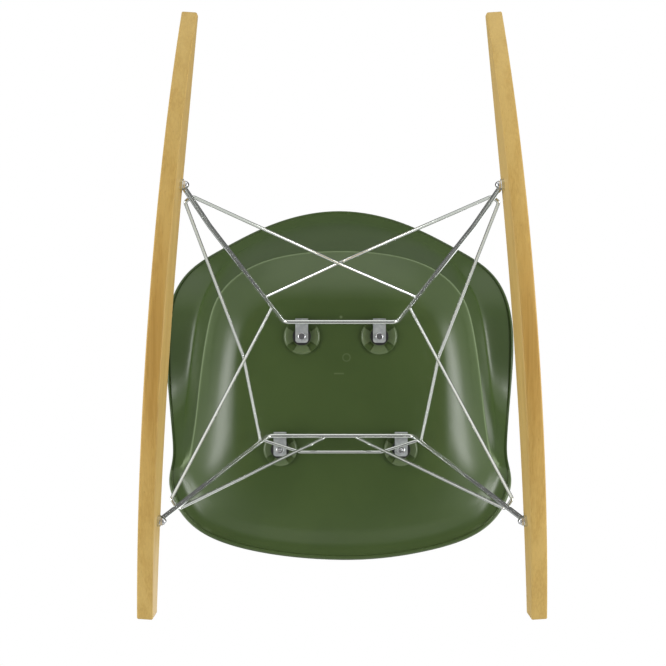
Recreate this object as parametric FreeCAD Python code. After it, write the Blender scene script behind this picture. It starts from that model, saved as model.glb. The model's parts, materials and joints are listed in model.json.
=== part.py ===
"""Rocking chair: moulded bucket shell on a chromed wire base with two maple rockers.

Millimetres. +Z is up, the sitter faces -Y, and +X is the sitter's left. The origin lies on the
floor, under the middle of the rockers' length.
"""
import math
import os

import FreeCAD
import Part

V = FreeCAD.Vector

# Rockers
rocker_length = 812.0
rocker_thickness = 20.8
rocker_radius = 988.0
contact_y = -46.0
rocker_height_mid = 65.0
rocker_height_front_tip = 37.0
rocker_height_rear_tip = 15.0
rocker_height_shoulder = 58.5
rocker_tallest_y = 30.0
rocker_shoulder_y = 200.0
rocker_half_spacing = 243.0
rocker_toe_in = 0.0655
rocker_edge_round = 2.0
rocker_end_round = 2.5

# Wires
frame_wire = 7.0
brace_wire = 4.8
frame_bend = 13.0
knee_bend = 160.0
foot_bend = 5.0
truss_bend = 6.0
long_bend = 120.0
weld_bend = 8.0
weld_gap = 0.05
crossing_gap = 0.1

# Where the legs meet the rockers and the crossbars
rear_eye_y = 165.5
rear_eye_height = 40.0
front_eye_y = -273.5
front_eye_height = 30.0
rear_bar_y = -11.7
rear_bar_half = 89.0
front_bar_y = -189.9
front_bar_half = 113.7
bar_z = 342.0
knee_reach = 90.0
knee_bow = 3.3

# Welds of the braces on the legs, as distances down a leg from its upper bend
rear_cross_weld = 74.0
front_brace_weld = 46.0
rear_brace_weld = 26.0
truss_weld = 19.0

# Turns of the braces round the feet, as distances up a leg from its eye and aside of it
rear_turn_inner = (33.2, 2.5)
rear_turn_outer = (34.1, -10.0)
front_turn_inner = (51.5, -3.4)
front_turn_outer = (52.0, 13.0)

# Braces between the legs
side_crossing = 100.0
brace_on_bar = 26.0
truss_half = 63.0
truss_drop = 12.0
truss_forward = 24.0

# Eyes, bolts and nuts
eye_diameter = 15.0
eye_thickness = 3.6
bolt_diameter = 6.0
bolt_clearance = 0.2
bolt_head_diameter = 13.0
bolt_head_height = 3.6
bolt_socket = 4.0
head_recess_clearance = 0.75
washer_diameter = 14.0
washer_thickness = 1.2
nut_across_flats = 10.0
nut_height = 3.2
nut_dome_diameter = 9.2
nut_thread_depth = 5.8

# Shock mounts
mount_reach = 22.5
rear_mount_x = 61.0
front_mount_x = 95.2
tab_width = 20.0
tab_thickness = 2.5
tab_behind = 5.5
tab_ahead = 32.5
tab_corner = 4.5
bushing_diameter = 28.6
bushing_height = 7.0
insert_diameter = 12.0
insert_height = 4.4
insert_flange_diameter = 17.0
insert_flange_height = 1.6
screw_diameter = 6.0
screw_head_diameter = 12.0
screw_head_height = 3.6
screw_socket = 4.0
screw_length = 6.4
rear_puck_diameter = 57.0
front_puck_diameter = 53.0
puck_thickness = 5.0
puck_dish = 2.6
puck_bore_clearance = 1.6
puck_pocket_depth = 1.2
lug_height = 1.6
lug_half_angle = 30.0
weld_depth = 0.8

# Shell
shell_wall = 5.0
rim_bead = 3.2
rim_band = 7.0
crease_reach = 9.0
flare_reach = 13.0
reach_share = 0.4
seat_centre_y = -130.0
floor_rings = (0.3, 0.7)

# Rings that pull the shell's underside outwards, from the flat floor's edge to the rim. Each runs from
# the middle of the front, round the left side, to the middle of the back, with heights above the floor.
floor_edge = [
    (0, -240), (72, -238), (118, -227), (140, -194), (144, -152), (145, -115),
    (144, -78), (139, -40), (121, -12), (86, 3), (46, 6), (0, 6),
]
turn_start = [
    (0, -268, 2.5), (84, -265, 2.5), (139, -252, 1.5), (164, -222, 0.5), (167, -182, 0), (167, -138, 0),
    (166, -88, 0), (160, -34, 0), (140, 2, 0), (101, 20, 0), (55, 24, 0), (0, 24, 0),
]
turn_ring = [
    (0, -305, 8), (97, -302, 9), (167, -291, 13), (207, -260, 18), (206, -212, 17),
    (200, -160, 15), (195, -98, 14), (185, -24, 14), (164, 17.5, 14), (123, 47, 14), (68, 58.5, 14), (0, 60, 14),
]
crease_ring = [
    (0, -345.3, 18), (123.7, -336.8, 20), (203.5, -307.9, 29), (240.5, -262.5, 46), (243, -222, 48),
    (235.5, -165, 47), (228.5, -100, 47), (215, -14, 47), (193, 39.5, 47), (149, 77, 48), (82, 98.5, 48),
    (0, 104.5, 48),
]
flare_ring = [
    (0, -373.6, 29), (133.9, -360.8, 31), (221.9, -326.8, 38), (258, -271, 57), (265, -231, 92),
    (272, -178, 190), (268.3, -100.2, 236), (254.4, 0.1, 240), (234.4, 58.5, 260), (192, 114, 292), (110, 162.5, 342),
    (0, 185, 362),
]
rim_ring = [
    (0, -392.6, 24), (143, -377.8, 26), (238.9, -339.2, 34), (279, -278, 55), (280.5, -240, 102),
    (299.5, -190, 214), (312.4, -99.9, 242), (311.5, 0.9, 247), (283.3, 78.7, 283), (217, 130.8, 333), (117.8, 183.6, 377),
    (0, 207.2, 397),
]


def unit(vector):
    """A copy of a vector at length one."""
    return V(vector) / vector.Length


def mirror_x(shape):
    """The same shape on the sitter's right."""
    return shape.mirror(V(0, 0, 0), V(1, 0, 0))


def tube(points, bends, diameter):
    """Bent wire: straight runs through the points, joined by tangent arcs of the given radii."""
    edges = []
    start = points[0]
    for i in range(1, len(points) - 1):
        back = unit(points[i - 1] - points[i])
        ahead = unit(points[i + 1] - points[i])
        half = back.getAngle(ahead) / 2
        setback = bends[i - 1] / math.tan(half)
        arc_start = points[i] + back * setback
        arc_end = points[i] + ahead * setback
        bisector = unit(back + ahead)
        arc_mid = points[i] + bisector * (bends[i - 1] / math.sin(half) - bends[i - 1])
        edges.append(Part.LineSegment(start, arc_start).toShape())
        edges.append(Part.Arc(arc_start, arc_mid, arc_end).toShape())
        start = arc_end
    edges.append(Part.LineSegment(start, points[-1]).toShape())
    section = Part.Wire(Part.Circle(points[0], unit(points[1] - points[0]), diameter / 2).toShape())
    return Part.Wire(edges).makePipeShell([section], True, False)


def rod(start, end, diameter):
    """A straight round bar."""
    return Part.makeCylinder(diameter / 2, (end - start).Length, start, end - start)


def hexagon(across_flats, height, base, axis):
    """A hexagonal prism that stands on base along axis."""
    corner = across_flats / math.sqrt(3)
    points = [V(corner * math.cos(math.radians(60 * i)), corner * math.sin(math.radians(60 * i)), 0)
              for i in range(7)]
    prism = Part.Face(Part.makePolygon(points)).extrude(V(0, 0, height))
    prism.Placement = FreeCAD.Placement(base, FreeCAD.Rotation(V(0, 0, 1), axis))
    return prism


# Rocker geometry

toe_angle = math.degrees(math.atan(rocker_toe_in))
outward = V(math.cos(math.radians(toe_angle)), math.sin(math.radians(toe_angle)), 0)


def rocker_outer_x(y):
    """Where the left rocker's outer face lies at a place along the chair."""
    return rocker_half_spacing - rocker_toe_in * y


def rocker_inner_x(y):
    """Where its inner face lies."""
    return rocker_outer_x(y) - rocker_thickness / outward.x


def rocker_under_z(y):
    """Height of a rocker's underside above the floor."""
    return rocker_radius - math.sqrt(rocker_radius ** 2 - (y - contact_y) ** 2)


def rocker_profile():
    """Side outline of a rocker: an arc below, an arc and a straight taper above, and upright ends."""
    half = rocker_length / 2
    under = [V(0, y, rocker_under_z(y)) for y in (-half, contact_y, half)]
    rear_top = V(0, half, under[2].z + rocker_height_rear_tip)
    front_top = V(0, -half, under[0].z + rocker_height_front_tip)
    crown = V(0, rocker_tallest_y, rocker_under_z(rocker_tallest_y) + rocker_height_mid)
    shoulder = V(0, rocker_shoulder_y, rocker_under_z(rocker_shoulder_y) + rocker_height_shoulder)
    return Part.Face(Part.Wire([
        Part.Arc(*under).toShape(),
        Part.LineSegment(under[2], rear_top).toShape(),
        Part.LineSegment(rear_top, shoulder).toShape(),
        Part.Arc(shoulder, crown, front_top).toShape(),
        Part.LineSegment(front_top, under[0]).toShape(),
    ]))


def eye_point(y, height):
    """Centre of a wire's eye, flat against the rocker's inner face."""
    face = V(rocker_inner_x(y), y, rocker_under_z(y) + height)
    return face - outward * (eye_thickness / 2)


rear_eye = eye_point(rear_eye_y, rear_eye_height)
front_eye = eye_point(front_eye_y, front_eye_height)
eyes = (rear_eye, front_eye)


def left_rocker():
    """A runner with rounded edges, two bolt holes and two recesses for the bolts' heads."""
    board = rocker_profile().extrude(V(-rocker_thickness, 0, 0))
    ends = [e for e in board.Edges if abs(abs(e.CenterOfMass.y) - rocker_length / 2) < 1
            and e.BoundBox.XLength > 1]
    board = board.makeFillet(rocker_end_round, ends)
    rims = [e for e in board.Edges if e.BoundBox.XLength < 1]
    board = board.makeFillet(rocker_edge_round, rims)
    board.translate(V(rocker_thickness / 2, 0, 0))
    board.rotate(V(0, 0, 0), V(0, 0, 1), toe_angle)
    board.translate(V((rocker_outer_x(0) + rocker_inner_x(0)) / 2, 0, 0))
    for eye in eyes:
        face = eye + outward * (eye_thickness / 2)
        hole = rod(face - outward, face + outward * (rocker_thickness + 1), bolt_diameter + 2 * bolt_clearance)
        recess_depth = bolt_head_height + washer_thickness
        recess = rod(
            face + outward * (rocker_thickness - recess_depth),
            face + outward * (rocker_thickness + 1),
            washer_diameter + 2 * head_recess_clearance,
        )
        board = board.cut(hole).cut(recess)
    return board


def rocker_bolt(eye):
    """A button head with a hexagon socket, let into the outer face, and its shank."""
    seat = eye + outward * (eye_thickness / 2 + rocker_thickness - bolt_head_height)
    reach = rocker_thickness - bolt_head_height + eye_thickness + nut_thread_depth
    head = Part.makeCone(bolt_head_diameter / 2, bolt_head_diameter / 3, bolt_head_height, seat, outward)
    shank = rod(seat, seat - outward * reach, bolt_diameter)
    socket = hexagon(bolt_socket, bolt_head_height, seat + outward * (bolt_head_height / 2), outward)
    return head.fuse(shank).removeSplitter().cut(socket)


def bolt_washer(eye):
    """A flat washer at the bottom of the recess."""
    seat = eye + outward * (eye_thickness / 2 + rocker_thickness - bolt_head_height)
    disc = rod(seat - outward * washer_thickness, seat, washer_diameter)
    return disc.cut(rod(seat - outward * (washer_thickness + 1), seat + outward,
                        bolt_diameter + 2 * bolt_clearance))


def cap_nut(eye):
    """A hexagon nut with a domed cap, on the inner side of the eye."""
    seat = eye - outward * (eye_thickness / 2)
    top = seat - outward * nut_height
    radius = nut_dome_diameter / 2
    body = hexagon(nut_across_flats, nut_height, top, outward)
    dome = Part.makeSphere(radius, top)
    lower_half = rod(seat, seat + outward * nut_dome_diameter, nut_dome_diameter * 2)
    nut = body.fuse(dome).cut(lower_half).removeSplitter()
    return nut.cut(rod(seat + outward, seat - outward * nut_thread_depth, bolt_diameter))


# Wire base

rear_bend = V(rear_bar_half, rear_bar_y, bar_z)
front_bend = V(front_bar_half, front_bar_y, bar_z)


def towards(start, end, distance):
    """The point at a distance from start on the way to end."""
    return start + unit(end - start) * distance


def opposite(point):
    """The same point on the sitter's right."""
    return V(-point.x, point.y, point.z)


def knee_point():
    """Where a rear leg bows outwards a little above its foot."""
    sideways = unit((rear_bend - rear_eye).cross(V(0, 0, 1)))
    return towards(rear_eye, rear_bend, knee_reach) - sideways * knee_bow


rear_knee = knee_point()
rear_leg = (rear_eye, rear_knee, rear_bend)
front_leg = (front_eye, front_bend)
brace_top = towards(rear_bend, rear_knee, front_brace_weld)


def over_foot(leg, turn):
    """A brace's turn on the upper side of a leg's foot, from its distances along and aside."""
    along, aside = turn
    axis = unit(leg[1] - leg[0])
    over = unit(V(0, 0, 1) - axis * axis.z)
    lift = (frame_wire + brace_wire) / 2 + weld_gap
    return leg[0] + axis * along + over * lift + axis.cross(over) * aside


def flatten_end(wire, eye):
    """The wire's end beaten to a flat eye, with its hole and a clear seat for the nut."""
    face = eye + outward * (eye_thickness / 2)
    nut_seat = eye - outward * (eye_thickness / 2)
    eye_disc = rod(nut_seat, face, eye_diameter)
    beyond = rod(face, face + outward * frame_wire * 2, eye_diameter * 3)
    nut_room = rod(nut_seat, nut_seat - outward * frame_wire * 2, eye_diameter)
    hole = rod(nut_seat - outward, face + outward, bolt_diameter + 2 * bolt_clearance)
    return wire.cut(beyond).cut(nut_room).fuse(eye_disc).cut(hole)


def frame(leg):
    """Leg, crossbar, leg in one bent wire with a flat eye at each end."""
    points = list(leg) + [opposite(p) for p in reversed(leg)]
    bends = [knee_bend] * (len(leg) - 2) + [frame_bend] * 2 + [knee_bend] * (len(leg) - 2)
    wire = tube(points, bends, frame_wire)
    left_side = Part.makeBox(rocker_length, 2 * rocker_length, rocker_length, V(0, -rocker_length, 0))
    left_half = flatten_end(wire.common(left_side), leg[0])
    return left_half.fuse(mirror_x(left_half)).removeSplitter()


def upper_run(leg, side=1):
    """The space that a leg's upper run fills, to cope a brace's end against."""
    below, above = (V(p.x * side, p.y, p.z) for p in leg[-2:])
    return rod(below, above, frame_wire + 2 * weld_gap)


def front_brace():
    """Left front brace: rear leg, round the foot of the front leg, front crossbar."""
    bar_end = V(brace_on_bar, front_bar_y - frame_wire / 2, bar_z)
    wire = tube([brace_top, over_foot(front_leg, front_turn_outer), over_foot(front_leg, front_turn_inner), bar_end],
                [foot_bend, foot_bend], brace_wire)
    crossbar = rod(V(-front_bar_half, front_bar_y, bar_z), V(front_bar_half, front_bar_y, bar_z),
                   frame_wire + 2 * weld_gap)
    return wire.cut(upper_run(rear_leg)).cut(crossbar)


def side_weld(start, end):
    """Where a rear brace from start to end lies against the outer side of its front brace."""
    along = unit(over_foot(front_leg, front_turn_outer) - brace_top)
    apart = unit((end - start).cross(along))
    return brace_top + along * side_crossing + apart * (brace_wire + crossing_gap)


def rear_brace(side):
    """Left rear brace: right rear leg, round the foot of the left rear leg, left front leg.

    It passes the other rear brace above with a side of 1 and below with -1.
    """
    far_end = opposite(towards(rear_bend, rear_knee, rear_cross_weld))
    inner = over_foot(rear_leg, rear_turn_inner)
    outer = over_foot(rear_leg, rear_turn_outer)
    arm = far_end - inner
    middle = inner - arm * (inner.x / arm.x)
    middle += unit(V(0, arm.z, -arm.y)) * (side * (brace_wire + crossing_gap) / 2)
    lower_end = towards(front_bend, front_eye, rear_brace_weld)
    wire = tube([far_end, middle, inner, outer, side_weld(outer, lower_end), lower_end],
                [long_bend, foot_bend, foot_bend, weld_bend], brace_wire)
    return wire.cut(upper_run(rear_leg, -1)).cut(upper_run(front_leg))


def front_truss():
    """The shallow trapezium under the front crossbar, from leg to leg."""
    top = towards(front_bend, front_eye, truss_weld)
    corner = V(truss_half, front_bar_y - truss_forward, bar_z - truss_drop)
    wire = tube([top, corner, opposite(corner), opposite(top)], [truss_bend, truss_bend], brace_wire)
    return wire.cut(upper_run(front_leg)).cut(upper_run(front_leg, -1))


# Shock mounts

tab_z = bar_z + frame_wire / 2
mount_z = tab_z + tab_thickness
puck_low_z = mount_z + bushing_height - puck_pocket_depth
puck_z = puck_low_z + puck_thickness
seat_z = puck_z - weld_depth
mounts = {
    "front_left": V(front_mount_x, front_bar_y - mount_reach, mount_z),
    "front_right": V(-front_mount_x, front_bar_y - mount_reach, mount_z),
    "rear_left": V(rear_mount_x, rear_bar_y - mount_reach, mount_z),
    "rear_right": V(-rear_mount_x, rear_bar_y - mount_reach, mount_z),
}
puck_diameters = {
    "front_left": front_puck_diameter,
    "front_right": front_puck_diameter,
    "rear_left": rear_puck_diameter,
    "rear_right": rear_puck_diameter,
}
up = V(0, 0, 1)


def bracket_tab(mount):
    """A flat steel strap welded on the crossbar, with a hole for the screw."""
    bar_y = mount.y + mount_reach
    strap = Part.makeBox(tab_width, tab_behind + tab_ahead, tab_thickness,
                         V(mount.x - tab_width / 2, bar_y - tab_ahead, tab_z))
    corners = [e for e in strap.Edges if e.BoundBox.ZLength > tab_thickness / 2
               and e.CenterOfMass.y < mount.y]
    strap = strap.makeFillet(tab_corner, corners)
    hole = rod(mount - up * (tab_thickness + 1), mount + up, screw_diameter + 2 * bolt_clearance)
    return strap.cut(hole)


def threaded_insert(mount):
    """A flanged steel nut that the rubber holds."""
    top = mount + up * insert_height
    body = rod(mount, top, insert_diameter)
    flange = rod(top - up * insert_flange_height, top, insert_flange_diameter)
    return body.fuse(flange).removeSplitter().cut(rod(mount - up, top + up, screw_diameter))


def rubber_bushing(mount):
    """The rubber ring between tab and puck, moulded round the insert."""
    ring = rod(mount, mount + up * bushing_height, bushing_diameter)
    ring = ring.cut(threaded_insert(mount))
    return ring.cut(rod(mount - up, mount + up * insert_height, screw_diameter))


def mount_screw(mount):
    """A pan head with a hexagon socket, under the tab."""
    seat = mount - up * tab_thickness
    head = rod(seat - up * screw_head_height, seat, screw_head_diameter)
    rim = [e for e in head.Edges if abs(e.CenterOfMass.z - (seat.z - screw_head_height)) < 0.01]
    head = head.makeFillet(screw_head_height / 2.4, rim)
    shank = rod(seat, seat + up * screw_length, screw_diameter)
    socket = hexagon(screw_socket, screw_head_height, seat - up * screw_head_height * 1.5, up)
    return head.fuse(shank).removeSplitter().cut(socket)


def mount_puck(mount, diameter):
    """A dished disc with four raised lugs, welded under the seat round its bushing."""
    outer = diameter / 2
    inner = bushing_diameter / 2 + puck_bore_clearance
    low = puck_low_z
    ceiling = low + puck_pocket_depth
    outline = [V(0, 0, ceiling), V(inner, 0, ceiling), V(inner, 0, low + puck_dish),
               V(outer - 0.6, 0, low), V(outer, 0, low + 0.6), V(outer, 0, puck_z), V(0, 0, puck_z)]
    dish = Part.Face(Part.makePolygon(outline + outline[:1])).revolve(V(0, 0, 0), up, 360)
    lug_outline = [V(inner, 0, low + puck_dish), V(inner, 0, low + puck_dish - lug_height),
                   V(outer - 2.5, 0, low - 0.8), V(outer - 1.5, 0, low - 0.2), V(outer - 1.5, 0, low + 2)]
    for turn in (0, 90, 180, 270):
        lug = Part.Face(Part.makePolygon(lug_outline + lug_outline[:1]))
        lug.rotate(V(0, 0, 0), up, turn - lug_half_angle)
        dish = dish.fuse(lug.revolve(V(0, 0, 0), up, 2 * lug_half_angle))
    dish.translate(V(mount.x, mount.y, 0))
    return dish.removeSplitter()


# Shell

def full_ring(half):
    """The whole ring from its left half, which starts and ends on the middle plane."""
    right = [V(-p.x, p.y, p.z) for p in reversed(half[1:-1])]
    return half + right


def underside_rings():
    """The rings that pull the underside, from near the seat's centre to the rim."""
    edge = [V(x, y, seat_z) for x, y in floor_edge]
    centre = V(0, seat_centre_y, seat_z)
    rings = [[centre + (p - centre) * share for p in edge] for share in floor_rings]
    rings.append(edge)
    start, turn, crease, flare, rim = (
        [V(x, y, seat_z + height) for x, y, height in ring]
        for ring in (turn_start, turn_ring, crease_ring, flare_ring, rim_ring))
    rings += [start, turn]
    rings += bend(turn, crease, flare, crease_reach)
    rings += bend(crease, flare, rim, flare_reach)
    rings.append([towards(edge, inner, rim_band) for edge, inner in zip(rim, flare)])
    return [full_ring(ring) for ring in rings]


def bend(before, corner, after, reach):
    """A corner ring with its neighbours at a reach, so that the wall turns within it."""
    inner = [towards(p, q, min(reach, (q - p).Length * reach_share)) for p, q in zip(corner, before)]
    outer = [towards(p, q, min(reach, (q - p).Length * reach_share)) for p, q in zip(corner, after)]
    return [inner, corner, outer]


def mean_steps(rings):
    """Parameters of the rings, spaced as the mean distance between them."""
    steps = [0.0]
    for inner, outer in zip(rings, rings[1:]):
        gaps = [(b - a).Length for a, b in zip(inner, outer)]
        steps.append(steps[-1] + sum(gaps) / len(gaps))
    return [s / steps[-1] for s in steps]


def looped(rings, knots, repeats):
    """A smooth closed surface: each ring becomes a loop of poles, with these knots across them."""
    around = [i / len(rings[0]) for i in range(len(rings[0]) + 1)]
    net = []
    for ring in rings:
        loop = Part.BSplineCurve()
        loop.interpolate(Points=ring, PeriodicFlag=True, Parameters=around)
        net.append(loop)
    poles = [[loop.getPole(i + 1) for loop in net] for i in range(net[0].NbPoles)]
    surface = Part.BSplineSurface()
    surface.buildFromPolesMultsKnots(
        poles, net[0].getMultiplicities(), repeats, net[0].getKnots(), knots, True, False, net[0].Degree, 3)
    return surface


def pulled_skin(rings):
    """A surface that the rings pull towards them and that ends on the first and the last."""
    spans = len(rings) - 3
    knots = [i / spans for i in range(spans + 1)]
    return looped(rings, knots, [4] + [1] * (spans - 1) + [4])


def pull_points(count):
    """Where across the surface each of its rings pulls most."""
    spans = count - 3
    knots = [0.0] * 3 + [i / spans for i in range(spans + 1)] + [1.0] * 3
    return [sum(knots[i + 1:i + 4]) / 3 for i in range(count)]


def skin(rings):
    """A smooth closed surface through all points of the rings."""
    across = mean_steps(rings)
    columns = []
    for i in range(len(rings[0])):
        column = Part.BSplineCurve()
        column.interpolate(Points=[ring[i] for ring in rings], Parameters=across)
        columns.append(column)
    pulls = [[column.getPole(j + 1) for column in columns] for j in range(columns[0].NbPoles)]
    return looped(pulls, columns[0].getKnots(), columns[0].getMultiplicities())


def seat_shell():
    """The moulded wall: underside, rim and top, with flat weld seats for the pucks."""
    rings = underside_rings()
    count = len(rings[0])
    under = pulled_skin(rings)
    lifts = [[under.normal(i / count, t) for i in range(count)] for t in pull_points(len(rings))]
    if lifts[0][0].z < 0:
        lifts = [[lift * -1 for lift in ring] for ring in lifts]
    top_rings = [[p + lift * shell_wall for p, lift in zip(ring, along)] for ring, along in zip(rings, lifts)]
    top = pulled_skin(top_rings)
    bead = []
    lip = []
    for inner, edge, lift in zip(rings[-2], rings[-1], lifts[-1]):
        outwards = unit(edge - inner)
        bead.append(edge + outwards * (rim_band / 2) - lift * rim_bead)
        lip.append(edge + outwards * rim_band + lift * (shell_wall / 2))
    rim = skin([rings[-1], bead, lip, top_rings[-1]])
    faces = [under.toShape(), rim.toShape(), top.toShape()]
    for surface in (under, top):
        faces.append(Part.Face(Part.Wire(surface.vIso(0.0).toShape())))
    wall = Part.Solid(Part.makeShell(faces))
    for place, mount in mounts.items():
        under_seat = V(mount.x, mount.y, seat_z - puck_thickness)
        wall = wall.cut(rod(under_seat, V(mount.x, mount.y, puck_z), puck_diameters[place]))
    return wall


def build():
    """Every node of the chair, by name."""
    rocker = left_rocker()
    brace = front_brace()
    nodes = {
        "seat_shell": seat_shell(),
        "rear_frame": frame(rear_leg),
        "front_frame": frame(front_leg),
        "left_rear_brace": rear_brace(-1),
        "right_rear_brace": mirror_x(rear_brace(1)),
        "left_front_brace": brace,
        "right_front_brace": mirror_x(brace),
        "front_truss": front_truss(),
        "left_rocker": rocker,
        "right_rocker": mirror_x(rocker),
    }
    for name, make in (("rocker_bolts", rocker_bolt), ("bolt_washers", bolt_washer), ("cap_nuts", cap_nut)):
        left = [make(eye) for eye in eyes]
        nodes[name] = Part.makeCompound(left + [mirror_x(piece) for piece in left])
    for place, mount in mounts.items():
        nodes[place + "_tab"] = bracket_tab(mount)
        nodes[place + "_bushing"] = rubber_bushing(mount)
        nodes[place + "_puck"] = mount_puck(mount, puck_diameters[place])
    nodes["threaded_inserts"] = Part.makeCompound([threaded_insert(m) for m in mounts.values()])
    nodes["mount_screws"] = Part.makeCompound([mount_screw(m) for m in mounts.values()])
    return nodes


os.makedirs("parts", exist_ok=True)
for node, shape in build().items():
    print(node, shape.isValid(), len(shape.Solids), round(shape.Volume))
    shape.exportStep("parts/" + node + ".step")
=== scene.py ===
"""Looks of the rocking chair: green moulded shell, chromed wire base, maple rockers.

Metres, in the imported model's own frame: +Z up, the sitter faces -Y, +X is the sitter's left.
"""
import json
import math

import bmesh
import bpy
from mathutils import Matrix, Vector

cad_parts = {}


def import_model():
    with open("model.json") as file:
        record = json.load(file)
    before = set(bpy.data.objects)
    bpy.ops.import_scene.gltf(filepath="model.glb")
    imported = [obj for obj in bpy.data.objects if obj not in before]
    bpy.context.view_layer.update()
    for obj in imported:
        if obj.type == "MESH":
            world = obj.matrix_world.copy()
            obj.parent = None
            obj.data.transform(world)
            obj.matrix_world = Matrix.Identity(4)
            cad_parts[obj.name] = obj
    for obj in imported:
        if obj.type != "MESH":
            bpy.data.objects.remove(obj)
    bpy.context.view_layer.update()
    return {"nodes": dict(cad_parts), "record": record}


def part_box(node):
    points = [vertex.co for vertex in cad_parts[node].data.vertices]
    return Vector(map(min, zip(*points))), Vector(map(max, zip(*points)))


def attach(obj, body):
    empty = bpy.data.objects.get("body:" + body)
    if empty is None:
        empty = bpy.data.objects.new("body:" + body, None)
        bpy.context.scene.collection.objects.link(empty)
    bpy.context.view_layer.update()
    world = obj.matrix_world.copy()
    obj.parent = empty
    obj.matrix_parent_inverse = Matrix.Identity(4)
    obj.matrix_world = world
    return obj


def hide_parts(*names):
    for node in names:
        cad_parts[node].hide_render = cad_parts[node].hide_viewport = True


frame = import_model()
nodes = frame["nodes"]
node_body = {node: body for body, members in frame["record"]["behaviour"]["bodies"].items()
             for node in members}
node_slot = {part["node"]: part["material_slot"] for part in frame["record"]["subparts"]}


# Shader maths

class Value:
    """A node's output that Python expressions can work with."""

    def __init__(self, graph, socket):
        self.graph = graph
        self.socket = socket

    def __add__(self, other):
        return self.graph.maths("ADD", self, other)

    def __sub__(self, other):
        return self.graph.maths("SUBTRACT", self, other)

    def __rsub__(self, other):
        return self.graph.maths("SUBTRACT", other, self)

    def __mul__(self, other):
        return self.graph.maths("MULTIPLY", self, other)

    __radd__ = __add__
    __rmul__ = __mul__

    def distance(self, other):
        """How far the value is from another."""
        return self.graph.maths("ABSOLUTE", self - other)

    def clamped(self, low, high, to_low=0.0, to_high=1.0):
        """Maps low..high to to_low..to_high smoothly and holds it there."""
        return self.graph.add(
            "ShaderNodeMapRange", {"interpolation_type": "SMOOTHSTEP"},
            {"Value": self, "From Min": low, "From Max": high, "To Min": to_low, "To Max": to_high})

    def faded(self, low, high):
        """1 up to low, which falls smoothly to 0 at high."""
        return self.clamped(low, high, 1.0, 0.0)


def set_stops(ramp, stops):
    """Gives a colour ramp its places and colours."""
    while len(ramp.elements) < len(stops):
        ramp.elements.new(1.0)
    for element, (place, colour) in zip(ramp.elements, stops):
        element.position = place
        element.color = colour


class Graph:
    """The node tree of one material or of the world."""

    def __init__(self, owner):
        owner.use_nodes = True
        self.tree = owner.node_tree
        self.tree.nodes.clear()

    def add(self, kind, settings=None, inputs=None, output=0):
        """A node with its settings made first, then its inputs; gives one of its outputs."""
        node = self.tree.nodes.new(kind)
        for name, value in (settings or {}).items():
            if name == "stops":
                set_stops(node.color_ramp, value)
            else:
                setattr(node, name, value)
        for name, value in (inputs or {}).items():
            socket = node.inputs[name]
            if isinstance(value, Value):
                self.tree.links.new(value.socket, socket)
            else:
                socket.default_value = value
        return Value(self, node.outputs[output]) if len(node.outputs) else None

    def maths(self, operation, *inputs):
        return self.add("ShaderNodeMath", {"operation": operation}, dict(enumerate(inputs)))

    def mix(self, factor, first, second, blend="MIX"):
        """A colour between two colours."""
        return self.add("ShaderNodeMix", {"data_type": "RGBA", "blend_type": blend},
                        {0: factor, 6: first, 7: second}, output=2)

    def ramp(self, level, stops):
        return self.add("ShaderNodeValToRGB", {"stops": stops}, {0: level})

    def ray(self, kind):
        """1 for the rays of a kind, such as those that the camera sees, and 0 for the rest."""
        return self.add("ShaderNodeLightPath", output=kind)

    def part(self, vector, way):
        """The X, Y or Z of a vector."""
        return self.add("ShaderNodeSeparateXYZ", None, {0: vector}, output=way)

    def place(self, scale=(1, 1, 1)):
        """Object coordinates, stretched."""
        coordinates = self.add("ShaderNodeTexCoord", output="Object")
        return self.add("ShaderNodeMapping", None, {"Vector": coordinates, "Scale": scale})

    def noise(self, vector, scale, detail):
        return self.add("ShaderNodeTexNoise", None,
                        {"Vector": vector, "Scale": scale, "Detail": detail})

    def bump(self, height, distance):
        return self.add("ShaderNodeBump", None, {"Height": height, "Distance": distance})

    def surface(self, **inputs):
        """A Principled surface with the given sockets, joined to the output."""
        named = {key.replace("_", " "): value for key, value in inputs.items()}
        shader = self.add("ShaderNodeBsdfPrincipled", None, named)
        self.add("ShaderNodeOutputMaterial", None, {"Surface": shader})


def srgb(red, green, blue):
    """A display colour of 0 to 255 as the linear colour that a shader takes."""
    def linear(channel):
        share = channel / 255
        return share / 12.92 if share <= 0.04045 else ((share + 0.055) / 1.055) ** 2.4
    return (linear(red), linear(green), linear(blue), 1.0)


def grey(level):
    """A plain linear grey."""
    return (level, level, level, 1.0)


def new_material(name):
    material = bpy.data.materials.new(name)
    return material, Graph(material)


# Finishes

ring_place, ring_radius = (-0.0094, -0.0676), 0.0058
nub_place = (-0.0008, -0.0036)
dash_place = (0.0024, -0.093)
underside_top = 0.3605


def mould_marks(g, place):
    """How pale the mould's ring, nub and dash are under the middle of the seat."""
    across, along, up = (g.part(place, way) for way in "XYZ")

    def distance_to(point):
        aside, ahead = across - point[0], along - point[1]
        return g.maths("SQRT", aside * aside + ahead * ahead)

    ring = distance_to(ring_place).distance(ring_radius).faded(0.0005, 0.0013)
    nub = distance_to(nub_place).faded(0.0012, 0.0032)
    dash_width = along.distance(dash_place[1]).faded(0.0006, 0.0016)
    dash_length = across.distance(dash_place[0]).faded(0.0072, 0.0086)
    marks = ring * 0.3 + nub * 0.7 + dash_width * dash_length * 0.35
    return marks * up.faded(underside_top, underside_top + 0.0005)


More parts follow.
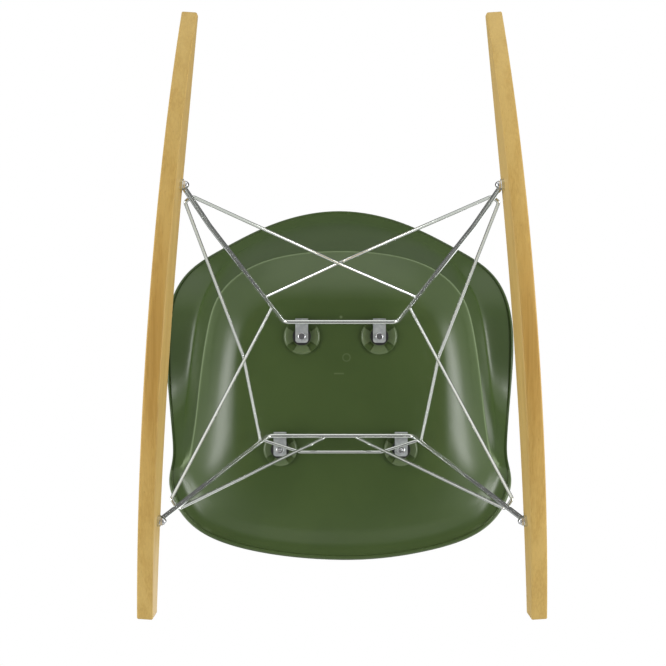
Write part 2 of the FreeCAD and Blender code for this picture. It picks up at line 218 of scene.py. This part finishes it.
def moulded_plastic():
    """Green polypropylene: a faint mottle, a paler painted highlight on the crease and lugs, and the
    mould's fine grain.
    """
    material, g = new_material("green_plastic")
    deep_green, fresh_green = srgb(57, 75, 34), srgb(61, 79, 37)
    # The paler of these greens is a painted highlight for the crease and the lugs.
    highlight_green, mark_green = srgb(124, 140, 106), srgb(112, 128, 92)
    place = g.place()
    mottle = g.noise(place, 9.0, 3.0)
    grain = g.noise(place, 900.0, 2.0)
    waves = g.noise(place, 55.0, 1.0)
    # This attribute carries the painted highlight on the crease and the lugs, which the paler green
    # fills in.
    worn = g.add("ShaderNodeAttribute", {"attribute_name": "worn"}, output="Fac")
    colour = g.mix(mottle.clamped(0.35, 0.65), deep_green, fresh_green)
    colour = g.mix(worn, colour, highlight_green)
    colour = g.mix(mould_marks(g, place), colour, mark_green)
    g.surface(Base_Color=colour, Roughness=grain.clamped(0.3, 0.7, 0.3, 0.37), IOR=1.49,
              Normal=g.bump(grain * 0.3 + waves, 0.00006))
    return material


def maple():
    """Lacquered maple: long fibres, soft growth bands and short dark flecks along the runner."""
    material, g = new_material("maple")
    dark_fibre, light_fibre = srgb(184, 151, 82), srgb(196, 165, 94)
    band_colour, fleck_colour = srgb(204, 175, 106), srgb(146, 110, 58)
    bands = g.noise(g.place((60.0, 1.1, 60.0)), 1.0, 3.0)
    fibres = g.noise(g.place((520.0, 5.0, 520.0)), 1.0, 3.0)
    pores = g.noise(g.place((1100.0, 16.0, 1100.0)), 1.0, 1.0)
    flecks = pores.clamped(0.66, 0.74, 0.0, 0.3)
    colour = g.mix(fibres.clamped(0.3, 0.7), dark_fibre, light_fibre)
    colour = g.mix(bands.clamped(0.35, 0.65, 0.0, 0.5), colour, band_colour)
    colour = g.mix(flecks, colour, fleck_colour)
    g.surface(Base_Color=colour, Roughness=fibres.clamped(0.3, 0.7, 0.46, 0.56), IOR=1.45,
              Normal=g.bump(fibres - flecks, 0.00004))
    return material


def chrome():
    """Bright chrome with the faint haze of handling."""
    material, g = new_material("chrome_wire")
    haze = g.noise(g.place(), 60.0, 3.0)
    g.surface(Base_Color=srgb(211, 214, 211), Metallic=0.92,
              Roughness=haze.clamped(0.4, 0.7, 0.07, 0.12))
    return material


def zinc():
    """Zinc-plated strap: fine brushed lines across it."""
    material, g = new_material("zinc_steel")
    brushed = g.noise(g.place((40.0, 1400.0, 1400.0)), 1.0, 2.0)
    cloud = g.noise(g.place(), 120.0, 2.0)
    colour = g.mix(cloud.clamped(0.35, 0.65), srgb(182, 187, 190), srgb(200, 205, 207))
    g.surface(Base_Color=colour, Metallic=0.6, Roughness=brushed.clamped(0.3, 0.7, 0.34, 0.46),
              Normal=g.bump(brushed, 0.00003))
    return material


def bright_steel():
    """Plated fasteners with fine turning marks."""
    material, g = new_material("bright_steel")
    marks = g.noise(g.place(), 1500.0, 2.0)
    g.surface(Base_Color=srgb(212, 212, 216), Metallic=1.0,
              Roughness=marks.clamped(0.3, 0.7, 0.14, 0.24))
    return material


def rubber():
    """Black moulded rubber, matt and a little dusty."""
    material, g = new_material("black_rubber")
    dust = g.noise(g.place(), 220.0, 3.0)
    colour = g.mix(dust.clamped(0.45, 0.75), srgb(24, 25, 25), srgb(44, 45, 44))
    g.surface(Base_Color=colour, Roughness=dust.clamped(0.3, 0.7, 0.5, 0.7),
              Normal=g.bump(dust, 0.00005))
    return material


finishes = {"green_plastic": moulded_plastic(), "maple": maple(), "chrome_wire": chrome(),
            "zinc_steel": zinc(), "bright_steel": bright_steel(), "black_rubber": rubber()}


# Wires, from the same named sizes and places as the solids

frame_wire, brace_wire = 0.007, 0.0048
frame_bend, knee_bend, long_bend = 0.013, 0.16, 0.12
foot_bend, truss_bend, weld_bend = 0.005, 0.006, 0.008
weld_gap, crossing_gap = 0.00005, 0.0001
rear_eye, rear_bend = Vector((0.20952, 0.16538, 0.0629)), Vector((0.089, -0.0117, 0.342))
front_eye, front_bend = Vector((0.23827, -0.27362, 0.05655)), Vector((0.1137, -0.1899, 0.342))
knee_reach, knee_bow = 0.09, 0.0033
brace_on_bar, side_crossing = 0.026, 0.1
truss_corner = Vector((0.063, -0.2139, 0.33))

# Welds, as distances down a leg from its upper bend
rear_cross_weld, front_brace_weld = 0.074, 0.046
rear_brace_weld, truss_weld = 0.026, 0.019

# Turns of the braces round the feet, as distances up a leg from its eye and aside of it
rear_turn_inner, rear_turn_outer = (0.0332, 0.0025), (0.0341, -0.01)
front_turn_inner, front_turn_outer = (0.0515, -0.0034), (0.052, 0.013)

upwards = Vector((0, 0, 1))


def towards(start, end, distance):
    """The point at a distance from start on the way to end."""
    return start + (end - start).normalized() * distance


def mirrored(points):
    """The same points on the sitter's right."""
    return [Vector((-point.x, point.y, point.z)) for point in points]


def whole(half):
    """A wire's points from those of its left half."""
    return half + mirrored(half[::-1])


def over_foot(leg, turn):
    """A brace's turn on the upper side of a leg's foot, from its distances along and aside."""
    along, aside = turn
    axis = (leg[1] - leg[0]).normalized()
    over = (upwards - axis * axis.z).normalized()
    lift = (frame_wire + brace_wire) / 2 + weld_gap
    return leg[0] + axis * along + over * lift + axis.cross(over) * aside


sideways = (rear_bend - rear_eye).cross(upwards).normalized()
rear_knee = towards(rear_eye, rear_bend, knee_reach) - sideways * knee_bow
rear_leg = [rear_eye, rear_knee, rear_bend]
front_leg = [front_eye, front_bend]
front_brace = [towards(rear_bend, rear_knee, front_brace_weld),
               over_foot(front_leg, front_turn_outer), over_foot(front_leg, front_turn_inner),
               Vector((brace_on_bar, front_bend.y - frame_wire / 2, front_bend.z))]
truss_half = [towards(front_bend, front_eye, truss_weld), truss_corner]


def rear_brace(side):
    """Left rear brace: right rear leg, round the foot of the left rear leg, left front leg.

    It passes the other rear brace above with a side of 1 and below with -1.
    """
    far_end = mirrored([towards(rear_bend, rear_knee, rear_cross_weld)])[0]
    inner, outer = over_foot(rear_leg, rear_turn_inner), over_foot(rear_leg, rear_turn_outer)
    arm = far_end - inner
    middle = inner - arm * (inner.x / arm.x)
    middle += Vector((0, arm.z, -arm.y)).normalized() * (side * (brace_wire + crossing_gap) / 2)
    lower_end = towards(front_bend, front_eye, rear_brace_weld)
    along = (front_brace[1] - front_brace[0]).normalized()
    apart = (lower_end - outer).cross(along).normalized()
    side_weld = front_brace[0] + along * side_crossing + apart * (brace_wire + crossing_gap)
    return [far_end, middle, inner, outer, side_weld, lower_end]


rear_bends = [long_bend, foot_bend, foot_bend, weld_bend]
wires = {
    "rear_frame": (whole(rear_leg), [knee_bend, frame_bend, frame_bend, knee_bend], frame_wire),
    "front_frame": (whole(front_leg), [frame_bend] * 2, frame_wire),
    "left_rear_brace": (rear_brace(-1), rear_bends, brace_wire),
    "right_rear_brace": (mirrored(rear_brace(1)), rear_bends, brace_wire),
    "left_front_brace": (front_brace, [foot_bend] * 2, brace_wire),
    "right_front_brace": (mirrored(front_brace), [foot_bend] * 2, brace_wire),
    "front_truss": (whole(truss_half), [truss_bend] * 2, brace_wire),
}


def centre_line(points, bends):
    """Points along a bent wire's middle: the straight runs' ends and the arcs between them."""
    line = [points[0]]
    for before, corner, after, radius in zip(points, points[1:], points[2:], bends):
        back = (before - corner).normalized()
        ahead = (after - corner).normalized()
        half = back.angle(ahead) / 2
        middle = corner + (back + ahead).normalized() * (radius / math.sin(half))
        first = corner + back * (radius / math.tan(half)) - middle
        last = corner + ahead * (radius / math.tan(half)) - middle
        steps = max(2, math.ceil(math.degrees(first.angle(last))))
        line += [middle + first.slerp(last, i / steps) for i in range(steps + 1)]
    return line + [points[-1]]


def radial(place, line):
    """The way from the nearest point of the line to a place."""
    best = None
    for start, end in zip(line, line[1:]):
        run = end - start
        share = min(1.0, max(0.0, (place - start).dot(run) / run.length_squared))
        away = place - start - run * share
        if best is None or away.length_squared < best.length_squared:
            best = away
    return best


def round_off(mesh, line, diameter, slack=0.0002, least_facing=0.75):
    """Gives a wire's round faces the normals of a true tube, and leaves its cut ends flat."""
    away = [radial(vertex.co, line) for vertex in mesh.vertices]
    normals = []
    for face in mesh.polygons:
        for index in face.vertices:
            way = away[index]
            outward = way.normalized()
            on_tube = abs(way.length - diameter / 2) < slack and outward.dot(face.normal) > least_facing
            normals.append(outward if on_tube else (0, 0, 0))
    mesh.normals_split_custom_set(normals)


# Painted highlights on the shell's crease and the pucks' lugs

# The crease band gets a painted highlight between these heights and around this tilt.
crease_low, crease_high = 0.39, 0.425
crease_tilt, crease_spread = 57, 7
lug_top = 0.356
lug_inner_radius = 0.0155
lug_half_turn = 30.5
# How strong the painted highlight on the lugs is.
lug_highlight = 0.36


def paint_crease_highlight(mesh):
    """Paints a highlight on the crease between the seat and the steep wall, by the tilt of the surface,
    in degrees.
    """
    worn = mesh.attributes.new("worn", "FLOAT", "POINT")
    for vertex, value in zip(mesh.vertices, worn.data):
        tilt = math.degrees(vertex.normal.angle(-upwards))
        if crease_low < vertex.co.z < crease_high:
            value.value = math.exp(-((tilt - crease_tilt) / crease_spread) ** 2)


def paint_lug_highlight(mesh, centre):
    """Paints a highlight on the raised lugs of a puck, which lie to its four sides."""
    worn = mesh.attributes.new("worn", "FLOAT", "POINT")
    for vertex, value in zip(mesh.vertices, worn.data):
        out = (vertex.co.xy - Vector(centre)).length
        turn = math.degrees(math.atan2(vertex.co.y - centre[1], vertex.co.x - centre[0])) % 90
        on_lug = turn < lug_half_turn or turn > 90 - lug_half_turn
        if vertex.co.z < lug_top and out > lug_inner_radius and on_lug:
            value.value = lug_highlight


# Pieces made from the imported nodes

sharp_angle = math.radians(35)


def merged(node):
    """A bmesh copy of a node, joined up and smooth but for its sharp edges."""
    piece = bmesh.new()
    piece.from_mesh(nodes[node].data)
    bmesh.ops.remove_doubles(piece, verts=piece.verts, dist=2e-6)
    bmesh.ops.dissolve_degenerate(piece, edges=piece.edges, dist=1e-7)
    for face in piece.faces:
        face.smooth = True
    for edge in piece.edges:
        if len(edge.link_faces) == 2:
            edge.smooth = edge.calc_face_angle() < sharp_angle
    return piece


def new_object(name, shape, material):
    """An object made from a bmesh, with one material."""
    mesh = bpy.data.meshes.new(name)
    shape.to_mesh(mesh)
    shape.free()
    mesh.materials.append(material)
    made = bpy.data.objects.new(name, mesh)
    bpy.context.scene.collection.objects.link(made)
    return made


def piece_of(name, shape, slot, body, *replaced):
    """Makes the shape an object with its finish, on its body, for the nodes that it stands for."""
    made = new_object(name, shape, finishes[slot])
    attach(made, body)
    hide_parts(*replaced)
    return made


for node in sorted(nodes):
    finished = piece_of(node + "_finished", merged(node), node_slot[node], node_body[node], node)
    if node in wires:
        points, bends, diameter = wires[node]
        round_off(finished.data, centre_line(points, bends), diameter)
    # The shell's crease gets a painted highlight, worked out from the tilt of its surface.
    if node == "seat_shell":
        paint_crease_highlight(finished.data)
    # The pucks' raised lugs get a painted highlight.
    if node.endswith("_puck"):
        low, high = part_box(node)
        paint_lug_highlight(finished.data, ((low.x + high.x) / 2, (low.y + high.y) / 2))


# Floor, light and camera

seat_middle = (0.0, -0.1, 0.4)


def floor():
    """A pale floor that hides nothing from below and lets the lower lamps through."""
    material, g = new_material("pale_floor")
    open_way = g.add("ShaderNodeNewGeometry", output="Backfacing")
    for kind in ("Is Shadow Ray", "Is Glossy Ray", "Is Transmission Ray"):
        open_way = g.maths("MAXIMUM", open_way, g.ray(kind))
    pale = g.add("ShaderNodeBsdfDiffuse", None, {"Color": srgb(236, 236, 234)})
    clear = g.add("ShaderNodeBsdfTransparent")
    mixed = g.add("ShaderNodeMixShader", None, {0: open_way, 1: pale, 2: clear})
    g.add("ShaderNodeOutputMaterial", None, {"Surface": mixed})
    shape = bmesh.new()
    bmesh.ops.create_grid(shape, x_segments=1, y_segments=1, size=8.0)
    made = new_object("floor", shape, material)


def mirrored_room(g, along, level):
    """What metal mirrors, from straight down at level 0 to straight up at 1.

    The floor is dark, the walls are pale up to the horizon and the room above is dark. Towards the
    chair's front a pale window stands in the dark.
    """
    walls = [(0.0, grey(0.14)), (0.11, grey(0.15)), (0.19, (0.85, 0.87, 0.83, 1.0)),
             (0.52, (0.82, 0.84, 0.8, 1.0))]
    above = [(0.6, (0.075, 0.075, 0.08, 1.0)), (0.955, (0.09, 0.09, 0.095, 1.0)), (1.0, grey(0.2))]
    dark, pane = (0.1, 0.1, 0.105, 1.0), (0.8, 0.82, 0.8, 1.0)
    window = [(0.58, dark), (0.67, dark), (0.71, pane), (0.82, pane), (0.86, dark), (0.955, dark),
              (1.0, grey(0.2))]
    return g.mix(along.faded(-0.25, -0.05), g.ramp(level, walls + above), g.ramp(level, walls + window))


def soft_glow(g, along, level):
    """What lights the other finishes: low light from below, more from the sides and the rear."""
    glow = g.ramp(level, [(0.0, grey(0.38)), (0.3, grey(0.42)), (0.5, grey(0.76)), (0.75, grey(0.64)),
                          (1.0, grey(0.76))])
    front_to_rear = g.mix(along.clamped(-1.0, 1.0), grey(0.2), grey(1.9))
    return g.mix(1.0, glow, front_to_rear, "MULTIPLY")


def world():
    """White to the camera, a room to metal and a soft glow to the rest."""
    scene = bpy.context.scene
    if scene.world is None:
        scene.world = bpy.data.worlds.new("studio")
    g = Graph(scene.world)
    direction = g.add("ShaderNodeTexCoord", output="Generated")
    along = g.part(direction, "Y")
    level = (g.part(direction, "Z") + 1.0) * 0.5
    glossy = g.maths("MAXIMUM", g.ray("Is Glossy Ray"), g.ray("Is Transmission Ray"))
    unseen = g.mix(glossy, soft_glow(g, along, level), mirrored_room(g, along, level))
    colour = g.mix(g.ray("Is Camera Ray"), unseen, grey(1.0))
    background = g.add("ShaderNodeBackground", None, {"Color": colour, "Strength": 1.0})
    g.add("ShaderNodeOutputWorld", None, {"Surface": background})


def lamp(name, place, size, power):
    """A square soft lamp that faces the middle of the seat."""
    data = bpy.data.lights.new(name, "AREA")
    data.size = size
    data.energy = power
    made = bpy.data.objects.new(name, data)
    made.location = place
    made.rotation_euler = (Vector(seat_middle) - Vector(place)).to_track_quat("-Z", "Y").to_euler()
    bpy.context.scene.collection.objects.link(made)


def camera():
    """The photograph's viewpoint: straight up from under the floor."""
    data = bpy.data.cameras.new("viewpoint")
    data.sensor_width = 36.0
    data.lens = 58.4
    made = bpy.data.objects.new("viewpoint", data)
    made.location = (0.0119, -0.0289, -1.350)
    made.rotation_euler = (0.0, math.pi, 0.0)
    bpy.context.scene.collection.objects.link(made)
    bpy.context.scene.camera = made


floor()
world()
camera()
lamp("left_low", (1.9, -0.15, -0.7), 0.9, 24.0)
lamp("right_low", (-1.9, -0.15, -0.7), 0.9, 26.0)
lamp("rear_low", (0.0, 1.9, -0.45), 2.0, 7.0)
lamp("over", (-1.2, -1.6, 3.0), 2.6, 32.0)
bpy.context.scene.view_settings.view_transform = "Standard"
